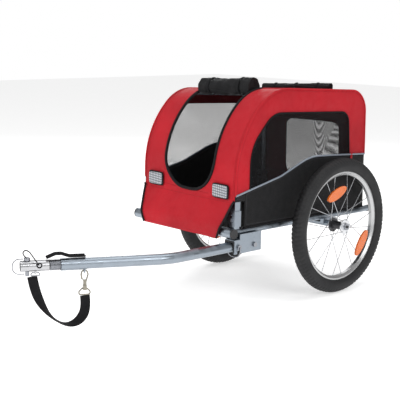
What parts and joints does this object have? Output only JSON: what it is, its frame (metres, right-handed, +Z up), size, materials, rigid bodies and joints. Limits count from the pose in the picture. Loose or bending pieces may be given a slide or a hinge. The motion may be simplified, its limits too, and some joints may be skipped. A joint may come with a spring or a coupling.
{
  "type": "pet bicycle trailer",
  "caption": "Two-wheeled pet trailer for a bicycle: tubular chassis, folding hoops under a fabric cabin, quick-release wheels, and a side tow arm with a sprung coupler.",
  "frame": {"origin": "on the ground, under the middle of the whole trailer with its tow arm", "axes": "+Z up, front and tow arm towards -Y, +X on the tow-arm side, the trailer's left"},
  "size_m": [0.544, 1.1804, 0.6329],
  "materials": {
    "galvanised_steel": "satin galvanised tube",
    "bright_aluminium": "brushed bright",
    "rim_alloy": "satin anodised",
    "tyre_rubber": "matt black tread",
    "spoke_steel": "polished",
    "hub_metal": "dark shell with bright flanges",
    "zinc_hardware": "zinc plated",
    "cast_zinc": "worn nickel",
    "black_plastic": "moulded",
    "orange_reflector": "prismatic",
    "clear_reflector": "prismatic",
    "red_fabric": "coated oxford weave",
    "black_fabric": "coated oxford weave",
    "black_mesh": "open mesh",
    "black_webbing": "ribbed webbing"
  },
  "bodies": {
    "chassis": {"left_side_rail": "galvanised_steel", "right_side_rail": "galvanised_steel", "front_cross_tube": "galvanised_steel", "rear_cross_tube": "galvanised_steel", "axle_tube": "galvanised_steel", "frame_end_caps": "black_plastic", "front_left_bracket": "galvanised_steel", "front_right_bracket": "galvanised_steel", "rear_left_bracket": "galvanised_steel", "rear_right_bracket": "galvanised_steel", "frame_bolts": "zinc_hardware", "tow_bracket": "galvanised_steel", "tow_bracket_liner": "black_plastic", "cabin_floor": "black_fabric", "left_side_cover": "red_fabric", "right_side_cover": "red_fabric", "left_window_mesh": "black_mesh", "right_window_mesh": "black_mesh", "left_lower_panel": "black_fabric", "right_lower_panel": "black_fabric", "front_cover": "red_fabric", "roof_cover": "red_fabric", "rear_cover": "red_fabric", "rear_window_mesh": "black_mesh", "front_roll": "black_fabric", "rear_roll": "black_fabric", "front_reflectors": "clear_reflector"},
    "left_hoop_frame": {"left_hoop": "galvanised_steel", "left_lock_pins": "zinc_hardware"},
    "right_hoop_frame": {"right_hoop": "galvanised_steel", "right_lock_pins": "zinc_hardware"},
    "left_wheel_axle": {"left_axle": "zinc_hardware"},
    "left_wheel": {"left_tyre": "tyre_rubber", "left_rim": "rim_alloy", "left_spokes": "spoke_steel", "left_hub": "hub_metal", "left_wheel_reflectors": "orange_reflector"},
    "left_button": {"left_release_button": "black_plastic"},
    "right_wheel_axle": {"right_axle": "zinc_hardware"},
    "right_wheel": {"right_tyre": "tyre_rubber", "right_rim": "rim_alloy", "right_spokes": "spoke_steel", "right_hub": "hub_metal", "right_wheel_reflectors": "orange_reflector"},
    "right_button": {"right_release_button": "black_plastic"},
    "arm": {"tow_arm": "galvanised_steel", "lock_pin": "zinc_hardware", "arm_sleeve": "galvanised_steel", "flex_spring": "zinc_hardware", "tether_strap": "black_webbing", "safety_strap": "black_webbing", "strap_d_ring": "cast_zinc", "snap_hook": "cast_zinc"},
    "arm_bail": {"lock_bail": "zinc_hardware"},
    "hitch": {"coupler": "bright_aluminium", "hitch_pin": "zinc_hardware", "strap_ring": "zinc_hardware", "pin_lanyard": "black_webbing"},
    "pin_bail": {"hitch_bail": "zinc_hardware"},
    "gate": {"snap_gate": "cast_zinc"}
  },
  "joints": [
    {"name": "left_hoop_fold", "type": "hinge", "parent": "chassis", "child": "left_hoop_frame", "pos_m": [0.183, 0.0042, 0.256], "axis": [0, -1, 0], "range_deg": [0, 90], "deforming": ["left_side_cover", "right_side_cover", "left_window_mesh", "right_window_mesh", "left_lower_panel", "right_lower_panel", "front_cover", "roof_cover", "rear_cover", "rear_window_mesh", "front_roll", "rear_roll", "front_reflectors"]},
    {"name": "right_hoop_fold", "type": "hinge", "parent": "chassis", "child": "right_hoop_frame", "pos_m": [-0.183, 0.0262, 0.274], "axis": [0, 1, 0], "range_deg": [0, 90]},
    {"name": "left_axle_release", "type": "slide", "parent": "chassis", "child": "left_wheel_axle", "axis": [1, 0, 0], "range_m": [0, 0.06]},
    {"name": "left_wheel_spin", "type": "hinge", "parent": "left_wheel_axle", "child": "left_wheel", "pos_m": [0.238, 0.3882, 0.2], "axis": [1, 0, 0], "continuous": true},
    {"name": "left_button_press", "type": "slide", "parent": "left_wheel_axle", "child": "left_button", "axis": [-1, 0, 0], "range_m": [0, 0.003], "stiffness_N_per_m": 300},
    {"name": "right_axle_release", "type": "slide", "parent": "chassis", "child": "right_wheel_axle", "axis": [-1, 0, 0], "range_m": [0, 0.06]},
    {"name": "right_wheel_spin", "type": "hinge", "parent": "right_wheel_axle", "child": "right_wheel", "pos_m": [-0.238, 0.3882, 0.2], "axis": [-1, 0, 0], "continuous": true},
    {"name": "right_button_press", "type": "slide", "parent": "right_wheel_axle", "child": "right_button", "axis": [1, 0, 0], "range_m": [0, 0.003], "stiffness_N_per_m": 300},
    {"name": "tow_arm_fold", "type": "hinge", "parent": "chassis", "child": "arm", "pos_m": [0.187, 0.0612, 0.183], "axis": [1, 0, 0], "range_deg": [0, 170]},
    {"name": "lock_bail_swing", "type": "hinge", "parent": "arm", "child": "arm_bail", "pos_m": [0.2114, 0.0002, 0.183], "axis": [0, -1, 0], "range_deg": [0, 100]},
    {"name": "coupler_flex", "type": "hinge", "parent": "arm", "child": "hitch", "pos_m": [0.05348, -0.49654, 0.183], "axis": [0, 0, 1], "range_deg": [-45, 45], "stiffness_Nm_per_rad": 6, "deforming": ["flex_spring", "tether_strap", "safety_strap"]},
    {"name": "hitch_bail_swing", "type": "hinge", "parent": "hitch", "child": "pin_bail", "pos_m": [0.02309, -0.5568, 0.2015], "axis": [-0.8929, 0.4503, 0], "range_deg": [0, 140]},
    {"name": "snap_gate_open", "type": "hinge", "parent": "arm", "child": "gate", "pos_m": [0.09041, -0.4362, 0.141], "axis": [-0.8929, 0.4503, 0], "range_deg": [0, 18], "stiffness_Nm_per_rad": 0.05}
  ]
}
